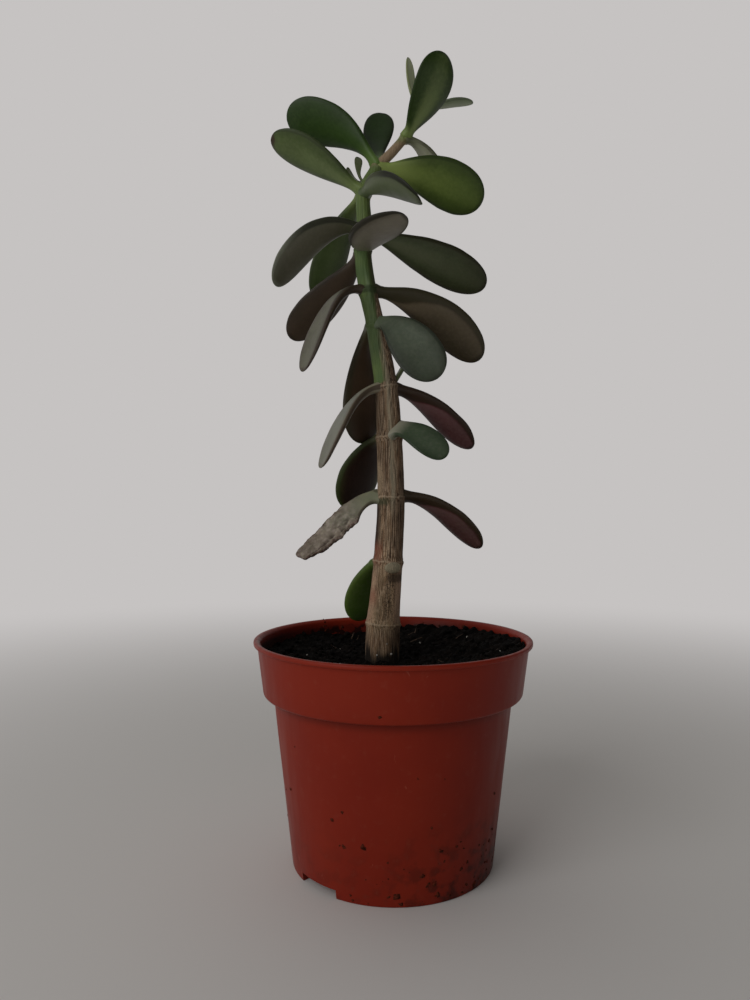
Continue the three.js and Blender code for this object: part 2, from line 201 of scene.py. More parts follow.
def skin(rings):
    """Points and faces of a closed skin through rings that all have the same count."""
    count = len(rings[0])
    points = [p for ring in rings for p in ring]
    faces = []
    for r in range(len(rings) - 1):
        for k in range(count):
            a, b = r * count + k, r * count + (k + 1) % count
            faces.append((a, b, b + count, a + count))
    for ring, first, outward in ((rings[0], 0, False), (rings[-1], len(points) - count, True)):
        points.append(sum((Vector(p) for p in ring), Vector()) / count)
        centre = len(points) - 1
        for k in range(count):
            a, b = first + k, first + (k + 1) % count
            faces.append((a, b, centre) if outward else (b, a, centre))
    return points, faces


def merged(shapes):
    """Points and faces of several shapes as those of one."""
    points, faces = [], []
    for more_points, more_faces in shapes:
        first = len(points)
        points += more_points
        faces += [tuple(first + i for i in face) for face in more_faces]
    return points, faces


def round_axis(first, rows, last):
    """Points and faces of rows of points round the axis, between two points on it."""
    sides = len(rows[0])
    points = [first, *(point for row in rows for point in row), last]
    end = len(points) - 1 - sides
    faces = []
    for k in range(sides):
        n = (k + 1) % sides
        faces.append((0, 1 + n, 1 + k))
        for a in range(1, end, sides):
            faces.append((a + k, a + n, a + sides + n, a + sides + k))
        faces.append((end + k, end + n, end + sides))
    return points, faces


# ---- procedural materials


def tone(code):
    """A linear colour from a hexadecimal one."""
    parts = [int(code[i : i + 2], 16) / 255 for i in (0, 2, 4)]
    linear = [p / 12.92 if p <= 0.04045 else ((p + 0.055) / 1.055) ** 2.4 for p in parts]
    return (*linear, 1.0)


class Graph:
    """Adds nodes to a tree. An input is a socket, a value or the code of a tone."""

    def __init__(self, tree):
        self.tree = tree

    def wire(self, value, socket):
        if isinstance(value, bpy.types.NodeSocket):
            self.tree.links.new(value, socket)
        else:
            socket.default_value = tone(value) if isinstance(value, str) else value

    def node(self, kind, inputs=(), **settings):
        made = self.tree.nodes.new("ShaderNode" + kind)
        for key, value in settings.items():
            setattr(made, key, value)
        for key, value in dict(inputs).items():
            self.wire(value, made.inputs[key])
        return made

    def math(self, operation, a, b=0):
        return self.node("Math", {0: a, 1: b}, operation=operation).outputs[0]

    def plus(self, a, b):
        return self.math("ADD", a, b)

    def ramp(self, value, low, high, bottom=0, top=1):
        """From bottom to top while value goes from low to high, smooth at both ends."""
        inputs = {"Value": value, "From Min": low, "From Max": high}
        inputs.update({"To Min": bottom, "To Max": top})
        return self.node("MapRange", inputs, interpolation_type="SMOOTHSTEP").outputs["Result"]

    def times(self, *shares):
        """The product of the shares, of which a tuple stands for the ramp with its numbers."""
        product, *others = [self.ramp(*s) if isinstance(s, tuple) else s for s in shares]
        for other in others:
            product = self.math("MULTIPLY", product, other)
        return product


class Paint(Graph):
    """Builds one material: a colour, coats over it, and one relief over another."""

    def __init__(self, name, colour, **sockets):
        self.material = bpy.data.materials.new(name)
        self.material.use_nodes = True
        super().__init__(self.material.node_tree)
        self.shader = next(n for n in self.tree.nodes if n.type == "BSDF_PRINCIPLED")
        self.place = self.node("TexCoord").outputs["Object"]
        self.colour, self.normal = colour, None
        for socket, value in sockets.items():
            self.set(socket.replace("_", " ").title().replace("Ior", "IOR"), value)

    def set(self, socket, value):
        self.wire(value, self.shader.inputs[socket])

    def attribute(self, name):
        return self.node("Attribute", attribute_name=name).outputs["Fac"]

    def axes(self):
        return self.node("SeparateXYZ", {0: self.place}).outputs

    def from_axis(self):
        """How far a point lies from the Z axis."""
        x, y, _ = self.axes()
        return self.math("SQRT", self.plus(self.times(x, x), self.times(y, y)))

    def stretched(self, scale):
        if not scale:
            return self.place
        return self.node("Mapping", {"Vector": self.place, "Scale": scale}).outputs[0]

    def noise(self, scale, detail, stretch=None, distortion=0):
        inputs = {"Vector": self.stretched(stretch), "Scale": scale}
        inputs.update({"Detail": detail, "Distortion": distortion})
        return self.node("TexNoise", inputs).outputs["Fac"]

    def cells(self, scale, stretch=None, feature="F1"):
        inputs = {"Vector": self.stretched(stretch), "Scale": scale}
        return self.node("TexVoronoi", inputs, feature=feature).outputs["Distance"]

    def coat(self, colour, *shares):
        """Covers the colour with another one, by the product of the shares."""
        inputs = {"Factor": self.times(*shares), 6: self.colour, 7: colour}
        self.colour = self.node("Mix", inputs, data_type="RGBA").outputs[2]

    def bump(self, height, distance, strength):
        inputs = {"Height": height, "Distance": distance, "Strength": strength}
        if self.normal:
            inputs["Normal"] = self.normal
        self.normal = self.node("Bump", inputs).outputs["Normal"]

    def done(self):
        self.set("Base Color", self.colour)
        if self.normal:
            self.set("Normal", self.normal)
        return self.material


def grain_paint(name, dark, light, grain, reach, relief=(), **sockets):
    """Two tones mixed by a noise, which is the relief as well."""
    paint = Paint(name, dark, **sockets)
    grain = paint.noise(*grain)
    paint.coat(light, (grain, *reach))
    if relief:
        paint.bump(grain, *relief)
    return paint.done()


DEEP = (0.008, 0.011, 0.004, 1)

LEAF_DEFAULTS = dict(
    roughness=0.42, rim=None, mist=0, keel=0.25, dusk=0.4, end=0, dry=0,
    near=None, near_at=(0.78, 0.62), near_from=None, near_fade=None, glint=None,
    stalk_reach=(0.03, 0.3), tip=None,
)
NEAR_REACH = 1.25
PALE = "8a8577"

# the shrivelled leaf's lichen, crust and shade: size and detail of the noise, how it is
# spread, along which shares of the length it comes, tone
DRY_PATCHES = (
    (100, 3, (0.4, 0.6, 0, 0.5), (0.7, 0.5), "6f7460"),
    (620, 5, (0.4, 0.65, 0, 0.4), (0.3, 0.45), "b4a89c"),
    (130, 5, (0.42, 0.6, 0, 0.4), (0.3, 0.5), "55483c"),
)

# tones of the upper face, the under face, the margin, the stalk and, if it isn't PALE, the pale
# flecks and painted sheen streak, and what differs from LEAF_DEFAULTS; leaf_paint tells the names
LEAF_LOOKS = {
    "leaf_1_back": ("4a6626 446022 54682e 4c5a2c", dict(keel=0.05)),
    "leaf_2_left": ("8a7f70 74655a 5c443c 86886a b0a698", dict(
        dry=0.5, roughness=0.65, dusk=0.2, stalk_reach=(0.15, 0.4),
        near=("4a2e26", 1, 0), near_at=(0.95, 0.85), near_from=(0.5, 0.7),
    )),
    "leaf_2_right": ("3c3626 472523 2a1d16 4a4430 8a706c", dict(keel=0.4, near=("33291c", -1))),
    "leaf_3_back": ("4e5236 2c1d17 3c4626 56583a 4a3a2c", dict(rim="33341a", keel=0, dusk=0)),
    "leaf_3_front": ("3c4c36 4c3e2c 2c3a26 9e9a88", dict(
        mist=0.1, dusk=0.6, stalk_reach=(0.17, 0.42),
    )),
    "leaf_4_left": ("6e6f61 524a3e 625a4c 8a8470", dict(
        mist=0.15, end=0.35, stalk_reach=(0.15, 0.35),
        near=("483c30", 1, 0), near_at=(0.95, 0.85),
    )),
    "leaf_4_right": ("3c3626 4c2426 2a1a16 463e2e 8f7472", dict(keel=0.35, near=("32261c", -1))),
    "leaf_4_young": ("56643a 525c38 444a2c 5a6240", {}),
    "leaf_5_back": ("4c4c34 4a382a 342e1c 4c4a30 4a3e2c", dict(rim="34301c", keel=0)),
    "leaf_5_front": ("465040 50422e 2b3025 56604a", dict(mist=0.12, dusk=0.5, end=0.5)),
    "leaf_6_left": ("5c5a4a 40362a 40352a 4c4c3a", dict(mist=0.1, near=("382d23", 1, 0.8))),
    "leaf_6_right": ("44462f 3a3222 2a2316 363a26 786c58", dict(
        keel=0.45, end=0.2, near=("34301f", -1),
    )),
    "leaf_7_back": ("48442f 483b2e 342c22 443a30 564638", dict(keel=0.05)),
    "leaf_7_front": ("5e6054 716c5e 39362a 666a50 9a9484", dict(
        near=("2c2a20", -1, 0), near_at=(0.86, 0.7), glint="8a8a7c",
    )),
    "leaf_8_left": ("5c6248 52503f 66685a 3c4228 7a7664", dict(
        keel=0.15, dusk=0.3, near=("2f3024", 1, 0.3), near_fade=(0.45, 0.75),
    )),
    "leaf_8_right": ("4c5638 3c442b 23220f 3c4428 666850", dict(keel=0.4, end=0.5)),
    "leaf_9_back": ("586e3e 4a5a32 3a4528 6c7a42 6c7850", {}),
    "leaf_9_front": ("5a6848 626c50 41452f 4c5a38 7e866a", dict(
        near=("1e2016", -1, 0), near_from=(0.4, 0.62), glint="8c907c",
    )),
    "leaf_9_left": ("60723a 506034 353f22 6c7c44 8a9468", dict(
        dusk=0.5, tip=(0.93, 0.99, "3c3022"),
    )),
    "shoot_9": ("6a7250 6f7656 545a3c 6a7050", {}),
    "leaf_10_left": ("30481b 2a4016 243611 5a7436 58703a", dict(keel=0.1, dusk=0.3)),
    "leaf_10_back": ("1e320c 162804 142004 48602a 445830", dict(keel=0.1)),
    "leaf_10_right": ("495d25 485a1e 283610 8c9c56 8a9a52", dict(
        keel=0.35, dusk=0.6, end=0.45, stalk_reach=(0.08, 0.46),
    )),
    "leaf_11_front": ("344a1e 304418 22330d 788a4c 8a9a60", dict(
        keel=0.62, dusk=0.7, stalk_reach=(0.02, 0.2),
    )),
    "leaf_11_back": ("94967f a2a48c 4f4f3c 5c6044", {}),
    "leaf_12_left": ("bcc49c ccd2a8 7c8258 8a9066 c0c4a2", {}),
    "leaf_12_right": ("7a8668 889478 5a644c 828c60", {}),
}


def leaf_paint(name, tones, extras):
    """Waxy skin, toned apart above and below, darker to its blunt margin (partly painted shade),
    with fine dots.

    rim: tone of the outer part of the face; mist: share of bloom on the upper face;
    keel: share of the painted sheen, a pale streak down the middle of the lower face;
    dusk, end: share of painted shade, in the margin's tone, on the outer face and
    towards the tip;
    near: tone of the painted shade along the margin on one side, the side (1 or -1) and how
    far it takes in the petiole; near_at: between which shares of the half width it fades;
    near_from, near_fade: between which shares of the length it starts and ends;
    glint: tone of the painted highlight on the upper face next to it; dry: share of dry scabs;
    stalk_reach: between which shares of the length the stalk's tone ends;
    tip: between which shares of the length a tip in a third tone begins.
    """
    upper, under, margin, stalk, pale = (*tones.split(), PALE)[:5]
    look = Values(**{**LEAF_DEFAULTS, **extras})
    paint = Paint(
        name, under, roughness=look.roughness, specular_ior_level=0.22,
        subsurface_weight=0.06, subsurface_radius=(0.5, 1, 0.25), subsurface_scale=0.002,
    )
    coat, ramp = paint.coat, paint.ramp
    side, across, along = map(paint.attribute, ("side", "across", "along"))
    out = paint.math("ABSOLUTE", across)
    above, below = ramp(side, -0.1, 0.1), ramp(side, -0.1, 0.1, 1, 0)
    fine = paint.noise(700, 4)
    dots = ramp(paint.cells(1200), 0.1, 0.3)
    wide = paint.plus(out, ramp(paint.noise(90, 2), 0.3, 0.7, -0.08, 0.08))

    coat(upper, above)
    if look.rim:
        coat(look.rim, (wide, 0.45, 0.92))
    coat(DEEP, (paint.noise(60, 3), 0.4, 0.7, 0, 0.25))
    coat(pale, (fine, 0.35, 0.7, 0, 0.1))
    coat("868a7a", above, (paint.noise(150, 5), 0.3, 0.75, 0.4, 1), look.mist)
    # painted shade: the margin's tone over the outer face and towards the tip
    coat(margin, (wide, 0.15, 0.8, 0, look.dusk))
    coat(margin, (along, 0.5, 1, 0, look.end))
    if look.near:
        near, near_side, near_reach = (*look.near, NEAR_REACH)[:3]
        toward = paint.times(across, -near_side)
        crease = paint.math("SUBTRACT", toward, ramp(along, 0.05, 0.62, near_reach, 0))
        streak = (crease, -0.72, -0.5), (crease, -0.4, 0.35, 1, 0), (along, 0.1, 0.95, 1, 0.5)
    else:
        streak = (out, 0, 0.5, 1, 0), (along, 0.1, 0.95, 1, 0.2)
    # painted sheen: a pale streak down the middle of the lower face
    coat(pale, *streak, below, look.keel)

    coat(stalk, (along, *look.stalk_reach, 0.85, 0))
    ring = paint.math("MAXIMUM", ramp(out, 0.74, 0.86), ramp(along, 0.95, 0.99))
    coat(margin, ring, (along, 0.1, 0.3, 0, 0.9))
    if look.tip:
        *reach, brown = look.tip
        ragged = paint.plus(along, ramp(paint.noise(240, 4), 0.3, 0.7, -0.03, 0.03))
        coat(brown, (ragged, *reach))
    # painted shade along the near margin, and a painted highlight on the upper face next to it
    if look.near:
        outer, inner = look.near_at
        shore = [(crease, -outer, -inner, 0.92, 0)]
        if look.near_from:
            shore.append((along, *look.near_from))
        if look.near_fade:
            shore.append((along, *look.near_fade, 1, 0))
        if look.glint:
            coat(look.glint, *shore, (side, 0.25, 0.6))
            shore.append((side, 0.25, 0.6, 1, 0))
        coat(near, *shore)
    coat(DEEP, (dots, 0, 1, 0.12, 0))
    if look.dry:
        for scale, detail, spread, reach, code in DRY_PATCHES:
            coat(code, (paint.noise(scale, detail), *spread), (along, *reach))
        # painted shade in the wrinkles' valleys
        coat("33261f", paint.attribute("valley"), 0.9)
        coat("3b2f22", (paint.noise(210, 5, distortion=0.6), 0.58, 0.7), look.dry)
    paint.bump(paint.noise(140, 3), 0.0006, 0.2)
    paint.bump(paint.plus(fine, dots), 0.0001, 0.3)
    return paint.done()

# ---- stem line


def stem_curve(t):
    """Centripetal Catmull-Rom through STEM_LINE, t from 0 to 1."""
    spans = len(STEM_LINE) - 1
    i = min(int(t * spans), spans - 1)
    w = t * spans - i
    p1, p2 = STEM_LINE[i], STEM_LINE[i + 1]
    p0 = STEM_LINE[i - 1] if i else 2 * p1 - p2
    p3 = STEM_LINE[i + 2] if i + 2 <= spans else 2 * p2 - p1
    d0, d1, d2 = (math.sqrt((b - a).length) for a, b in ((p0, p1), (p1, p2), (p2, p3)))
    leave = ((p1 - p0) / d0 - (p2 - p0) / (d0 + d1) + (p2 - p1) / d1) * d1
    arrive = ((p2 - p1) / d1 - (p3 - p1) / (d1 + d2) + (p3 - p2) / d2) * d1
    bend = -3 * p1 + 3 * p2 - 2 * leave - arrive
    close = 2 * p1 - 2 * p2 + leave + arrive
    return p1 + leave * w + bend * w * w + close * w * w * w


def stem_at(height):
    """Middle of the stem at a height, and the way it grows there."""
    low, high = 0.0, 1.0
    for _ in range(30):
        middle = (low + high) / 2
        if stem_curve(middle).z < height:
            low = middle
        else:
            high = middle
    step = 1e-4
    ahead = stem_curve(min(1, low + step)) - stem_curve(max(0, low - step))
    return stem_curve(low), ahead.normalized()


def stem_radius(height):
    return between(STEM_RADII, height)


# ---- leaves

LEAF_STEPS, LEAF_SIDES = 60, 44
WRINKLED_STEPS, WRINKLED_SIDES = 120, 72
STEP_CROWDING = 0.75  # 0 gives even steps, more draws them together towards the tip
NEXT_TO_LAST_RING, LAST_RING = 0.9995, 0.9998
ACROSS_BLUNTNESS, ABOVE_BLUNTNESS = 0.7, 0.84  # 1 and 1 give an elliptic section
UNDER_BULGE, UPPER_BULGE = 1.1, 0.92
FLARE, FLARE_LENGTH = 0.35, 1.6  # how much thicker the foot gets, and over which length
OLD_FOOT, YOUNG_FOOT, FOOT_LENGTH = 0.9, 0.1, 1.8  # the same for its width
FLESHY_HALF_WIDTH = 4  # where the blade is this wide, the waves are at their full height
WAVE_LIFT, WAVE_WIDENING = 0.2, 0.018


def blunt(value, power):
    return math.copysign(abs(value) ** power, value)


def blade_share(along, taper):
    """Share of the blade's full half width at a share of the leaf's length."""
    blade = max(0, (along - LEAF.petiole_share) / (1 - LEAF.petiole_share))
    peak = taper / (taper + 0.5)
    full = peak**taper * math.sqrt(1 - peak)
    return blade**taper * math.sqrt(1 - blade) / full


def bezier(points, t):
    a, b, c, d = points
    s = 1 - t
    return a * s**3 + b * 3 * s * s * t + c * 3 * s * t * t + d * t**3


def bezier_slope(points, t):
    a, b, c, d = points
    s = 1 - t
    return ((b - a) * 3 * s * s + (c - b) * 6 * s * t + (d - c) * 3 * t * t).normalized()


def even_parameter(points, divisions=200):
    """A function from the share of a curve's length to its parameter."""
    places = [bezier(points, i / divisions) for i in range(divisions + 1)]
    lengths = [0.0]
    for a, b in zip(places, places[1:]):
        lengths.append(lengths[-1] + (b - a).length)

    def parameter(share):
        target = share * lengths[-1]
        i = next((i for i in range(divisions) if lengths[i + 1] >= target), divisions - 1)
        return (i + (target - lengths[i]) / (lengths[i + 1] - lengths[i])) / divisions

    return parameter


def wrinkles(here, along, across, fleshy):
    """What the shrivelled blade adds to its height and width, and its valleys' depth."""
    dry = fleshy * smoothstep(along, 0.34, 0.5)
    lower = smoothstep(across, -0.3, 0.7)
    fold = ripple(Vector((here.x * 1.6, here.y * 0.3, 0)), 2.4)
    pucker = ripple(here, 3)
    lobe = max(0, ripple(Vector((along * 30, 3.3, across)), 3.2, 2)) * (across > 0)
    height = ((0.3 + 0.5 * lower) * fold + (0.3 + 0.8 * lower) * pucker) * dry
    shoulder, waist = 1.1 * hump(along, 0.43, 0.07), 2.1 * hump(along, 0.23, 0.11)
    out = max(0, across) * (shoulder - waist) + across * dry * (0.3 * pucker + 1.6 * lobe)
    valley = smoothstep(-fold - 0.5 * pucker, 0.1, 0.6) * dry * (0.35 + 0.65 * lower)
    return height, out, valley


def leaf_rings(row, seed):
    """Rings of one leaf, with the marks side, across, along and valley of each point."""
    _, node, azimuth, reach, rise, leave, arrive, width, roll, *extras = row
    form = Values(**{**LEAF_FORM, **dict(*extras)})
    start = stem_at(NODE_HEIGHTS[node] + form.lift)[0]
    tip = start + direction(azimuth) * reach + UP * rise
    arm = LEAF.pull * (tip - start).length
    line = (
        start,
        start + direction(azimuth + form.sway, leave) * arm,
        tip - direction(azimuth - form.sway, arrive) * arm,
        tip,
    )
    parameter = even_parameter(line)
    level = direction(azimuth + 90)
    petiole_half = 0.5 * min(LEAF.petiole_width, width * LEAF.petiole_slimness)
    slim = width * LEAF.blade_slimness * 2
    youth = node / (len(NODE_HEIGHTS) - 1)
    foot_spread = form.foot or lerp(OLD_FOOT, YOUNG_FOOT, youth)
    foot_thickness = min(lerp(LEAF.petiole_thickness, LEAF.thickness, youth), slim)
    blade_thickness = min(LEAF.thickness, slim)
    stem_here = stem_radius(start.z)
    offset = Vector((seed * 37.1, seed * 11.7, seed * 5.3))
    steps, sides = LEAF_STEPS, LEAF_SIDES
    if form.wrinkled:
        steps, sides = WRINKLED_STEPS, WRINKLED_SIDES
    rings, marks = [], []
    for step in range(steps + 1):
        share = step / steps
        along = min(share * (1 + STEP_CROWDING * (1 - share)), NEXT_TO_LAST_RING)
        if step == steps:
            along = LAST_RING
        t = parameter(along)
        middle, tangent = bezier(line, t), bezier_slope(line, t)
        side = (level - tangent * level.dot(tangent)).normalized()
        side.rotate(Matrix.Rotation(math.radians(roll), 3, tangent))
        up = tangent.cross(side)
        crease = form.wrinkled * math.sin(along * LEAF.crease_turn) * math.sin(along * math.pi)
        blade = 0.5 * width * blade_share(along, form.taper)
        petiole = petiole_half * (1 - along) ** LEAF.petiole_fade
        half_width = math.hypot(blade, petiole) + LEAF.crease_widening * crease
        from_stem = max(0, (middle - start).length - stem_here)
        flare = 1 + FLARE * math.exp(-from_stem / FLARE_LENGTH)
        spread = 1 + foot_spread * math.exp(-from_stem / FOOT_LENGTH)
        thickness = lerp(foot_thickness, blade_thickness, along)
        half_thickness = 0.5 * thickness * math.sqrt(max(0, 1 - along**LEAF.tip_bluntness))
        fleshy = min(1, blade / FLESHY_HALF_WIDTH)
        ring = []
        for k in range(sides):
            angle = TURN * k / sides
            across = blunt(math.cos(angle), ACROSS_BLUNTNESS)
            above = blunt(math.sin(angle), ABOVE_BLUNTNESS)
            bulge = UNDER_BULGE if above < 0 else UPPER_BULGE
            here = Vector((across * half_width, along * reach * 1.2, above * 2)) + offset
            wave = ripple(here, 9, 2) * fleshy
            height = half_thickness * above * bulge * flare
            height += LEAF.cup * blade * (across * across - 0.4)
            height += LEAF.crease_lift * crease * across + WAVE_LIFT * wave
            out = half_width * across * spread * (1 + WAVE_WIDENING * wave)
            valley = 0.0
            if form.wrinkled:
                more_height, more_out, valley = wrinkles(here, along, across, fleshy)
                height, out = height + more_height, out + more_out
            ring.append(middle + side * out + up * height)
            marks.append((math.sin(angle), math.cos(angle), along, valley))
        rings.append(ring)
    return rings, marks


def by_name(names, marks):
    """The marks of all points, kept by name."""
    return {name: list(values) for name, values in zip(names, zip(*marks))}


def make_leaf(name, slot):
    shapes, marks = [], []
    for number, row in enumerate(row for row in LEAVES if row[0] == name):
        rings, marked = leaf_rings(row, len(name) * 3 + row[1] * 7 + number)
        shapes.append(skin(rings))
        marks += marked + [marked[0], marked[-1]]
    look = leaf_paint("skin_" + name, *LEAF_LOOKS[name])
    marks = by_name(("side", "across", "along", "valley"), marks)
    new_piece("look_" + name, merged(shapes), look, [name], marks)


def leaf_slot(name, node):
    if name.startswith("shoot"):
        return "young_shoot"
    return "old_leaf" if node <= 6 else "young_leaf"


for leaf_name, leaf_node in {row[0]: row[1] for row in LEAVES}.items():
    make_leaf(leaf_name, leaf_slot(leaf_name, leaf_node))

# ---- stem

STEM_SIDES = 80
STEM_PITCH = 0.4
OLD_BARK_ENDS = (195, 262)
BUD_STEPS = 24
BUD_SIDES = 36
BUD_MARKS = (0.95, 0.0, 1.2, -0.2)  # woody, line, ridge and right

# at a height, the share of the stem's width, from -1 at its left, right of which is bark
BARK_EDGE = ((0, -2), (200, -2), (206, -0.1), (225, 0.1), (243, 0.7), (258, 2), (400, 2))
RIDGE_AZIMUTH = 278
RIDGE_REACH = (150, 250)
RIDGE_BLUR = 8


def node_ring(height):
    """How far the skin stands out over a node, with a fine crease above the ring."""
    out = 0.0
    for node in NODE_HEIGHTS:
        if abs(height - node) < 5 * STEM.ring_length:
            out += STEM.ring_height * hump(height, node, STEM.ring_length)
            out -= 0.22 * hump(height, node + 0.7, 0.3)
            out += 0.14 * hump(height, node - 0.1, 0.3)
    return out


def node_line(height):
    """1 on the pale hairline round each of the stem's lower nodes."""
    return max(hump(height, node, 0.32) for node in NODE_HEIGHTS[:5])


def stem_skin():
    """Shape of the stem, with the marks woody, line, ridge and right of each point."""
    rings, marks = [], []
    count = int((STEM.tip - STEM.foot) / STEM_PITCH)
    ridge_low, ridge_high = RIDGE_REACH
    for step in range(count + 1):
        height = lerp(STEM.foot, STEM.tip, step / count)
        middle, tangent = stem_at(height)
        right = Vector((0, 1, 0)).cross(tangent).normalized()
        back = tangent.cross(right)
        old = 1 - smoothstep(height, *OLD_BARK_ENDS)
        edge = between(BARK_EDGE, height)
        reach = smoothstep(height, ridge_low - RIDGE_BLUR, ridge_low + RIDGE_BLUR)
        reach *= 1 - smoothstep(height, ridge_high - RIDGE_BLUR, ridge_high + RIDGE_BLUR)
        ring = []
        for k in range(STEM_SIDES):
            angle = TURN * k / STEM_SIDES
            place = Vector((math.cos(angle), math.sin(angle), 0))
            grain = ripple(place * 9 + UP * height * 0.1, 1)
            coarse = ripple(place * 3 + UP * height * 0.07, 1, 2)
            turn = (math.degrees(angle) - RIDGE_AZIMUTH + 12 * coarse + 180) % 360 - 180
            ridge = reach * hump(turn, 0, 11)
            radius = stem_radius(height) + node_ring(height + 0.4 * coarse)
            radius += old * (0.1 * grain + 0.15 * coarse) + (1 - old) * 0.05 * coarse
            radius += 0.3 * ridge
            ring.append(middle + (right * place.x + back * place.y) * radius)
            woody = smoothstep(place.x + 0.15 * coarse, edge - 0.22, edge + 0.22)
            marks.append((woody, node_line(height + 0.5 * coarse), ridge, place.x))
        rings.append(ring)
    return skin(rings), marks + [marks[0], marks[-1]]


def bud_skin():
    """The bud under a node: a broad low knob with a groove round it."""
    height = NODE_HEIGHTS[1] - BUD.drop
    outward, sideways = direction(BUD.azimuth), direction(BUD.azimuth + 90)
    middle = stem_at(height)[0] + outward * (stem_radius(height) - BUD.sunk)
    rings = []
    for step in range(BUD_STEPS + 1):
        tilt = math.pi * (step / BUD_STEPS - 0.5)
        groove = 1 - 0.07 * hump(step, 17, 1.4)
        ring = []
        for k in range(BUD_SIDES):
            way = direction(360 * k / BUD_SIDES, math.degrees(tilt) * 0.998)
            size = BUD.radius * groove * (1 + 0.07 * ripple(way, 1.3, 2))
            spot = outward * (way.x * BUD.depth) + sideways * way.y + UP * (way.z * BUD.flatness)
            ring.append(middle + spot * size)
        rings.append(ring)
    return skin(rings)


def stem_paint():
    """Striped bark, split into a web of cracks and stained, and green skin above it.

    Both have painted shade on the right side; the bark has painted shade at its left edge,
    painted light on the left above the second node and a painted shadow under the bud.
    """
    paint = Paint("stem_skin", "5f4938", specular_ior_level=0.2)
    coat, ramp = paint.coat, paint.ramp
    woody, line, ridge, right = map(paint.attribute, ("woody", "line", "ridge", "right"))
    height = paint.axes()["Z"]

    def band(low, high, blur):
        """1 between two heights of the stem, in mm, with edges blurred by blur."""
        rise = (height, (low - blur) * MM, (low + blur) * MM)
        return paint.times(rise, (height, (high - blur) * MM, (high + blur) * MM, 1, 0))

    hairs = paint.noise(3000, 3, (1, 1, 0.035))
    striae = paint.noise(1500, 4, (1, 1, 0.05))
    bands = paint.noise(330, 3, (1, 1, 0.12))
    patches = paint.noise(90, 4, (1, 1, 0.6))
    cracks = paint.cells(1300, (1, 1, 0.45), "DISTANCE_TO_EDGE")
    web = paint.times((cracks, 0, 0.12, 1, 0), (right, -0.25, 0.05), (right, 0.45, 0.75, 1, 0))
    blush = paint.times((right, -0.75, -0.3, 0.7, 0), (bands, 0.3, 0.6, 0.5, 1))

    coat("937457", (bands, 0.35, 0.65))
    coat("2f231a", (striae, 0.4, 0.56, 0.8, 0))
    coat("c8ae90", (hairs, 0.45, 0.6, 0, 0.75))
    coat("847660", (patches, 0.5, 0.7, 0, 0.35))
    # painted shade on the bark's right side
    coat("38281e", band(126, 172, 6), (right, 0.1, 0.8, 0, 0.45))
    coat("4a3a2e", band(172, 260, 6), (right, 0.5, 0.9, 0, 0.4))
    coat("3a2e24", band(184, 206, 4), (right, -0.9, 0.2, 0.4, 0))
    coat("8a7250", band(98, 126, 4), 0.25)
    # painted shade at the left edge, then painted light on the left just above the second node
    coat("3a2a20", band(134, 154, 4), (right, -0.95, -0.55, 1, 0))
    coat("c0a888", band(157, 171, 3), (right, -0.9, -0.3, 0.6, 0))
    coat("c0a088", band(101.5, 124, 3), (right, 0.4, 0.85, 0, 0.6))
    coat("b8957c", band(101.5, 124, 3), (right, -0.9, -0.5, 0.5, 0))
    coat("2e251d", band(134, 262, 4), (patches, 0.35, 0.65, 0.42, 0.1))
    coat("241a13", band(104, 123, 3), web, 0.85)
    coat("3c2e22", band(104, 123, 4), (paint.math("ABSOLUTE", right), 0.1, 0.5, 0.2, 0))
    # painted shadow under the bud
    coat("2a2017", band(119, 123, 1.2), (right, -0.1, 0.3, 0, 0.75))
    coat("2c2119", (cracks, 0, 0.07, 0.55, 0))
    coat("7a3a2a", band(127, 136, 3), blush)
    coat("8a4634", band(110, 116, 3), blush, 0.6)
    coat("4a3220", band(86, 98, 3), 0.4)
    coat("39402a", band(152.5, 155.5, 0.8), (right, -0.5, 0.2, 0.7, 0))
    # pale along the ridge: partly its own tone, partly painted highlight
    coat("96907a", ridge, 0.5)

    bark, paint.colour = paint.colour, "485e34"
    coat("64743f", (patches, 0.3, 0.7))
    coat("34421f", (striae, 0.35, 0.6, 0.35, 0))
    # painted shade on the right side of the green skin
    coat("342c1e", (right, 0.1, 0.8), (height, 0.27, 0.285, 0.7, 0.2))
    # pale along the ridge on the green skin: partly its own tone, partly painted highlight
    coat("84927a", ridge, (height, 0.243, 0.249, 0.1, 0.45))
    coat("242c16", band(215, 244, 5), 0.42)
    coat("7c8054", (height, 0.308, 0.316))
    coat("927a62", band(300.5, 311, 2), 0.85)

    coat(bark, woody)
    coat("283319", band(244.3, 247.5, 0.7), 0.75)
    coat("33401f", band(263.2, 265.2, 0.6), 0.5)
    coat("b7a48a", line, (right, -0.9, 0.9, 0.55, 0.28))
    wet = paint.plus(height, ramp(bands, 0.3, 0.7, -0.0035, 0.0035))
    coat("0c0a08", (wet, 0.0875, 0.0935, 1, 0), 0.95)
    paint.set("Roughness", ramp(woody, 0, 1, 0.5, 0.85))
    paint.bump(striae, 0.0009, 0.6)
    paint.bump(hairs, 0.0003, 0.5)
    paint.bump(cracks, 0.0003, 0.35)
    return paint.done()


def make_stem():
    stem, marks = stem_skin()
    bud = bud_skin()
    marks += [BUD_MARKS] * len(bud[0])
    marks = by_name(("woody", "line", "ridge", "right"), marks)
    new_piece("look_stem", merged((stem, bud)), stem_paint(), ["stem"], marks)


make_stem()

# ---- pot

POT_SIDES = 288
POT_WOBBLE = 0.06
LONGEST_EDGE = 6


def wall_radius(height):
    return lerp(POT.foot_radius, POT.shoulder_radius, height / POT.collar_bottom)


def collar_radius_at(height):
    share = (height - POT.collar_bottom) / (LIP_BOTTOM - POT.collar_bottom)
    return lerp(POT.collar_radius, POT.collar_top_radius, share)


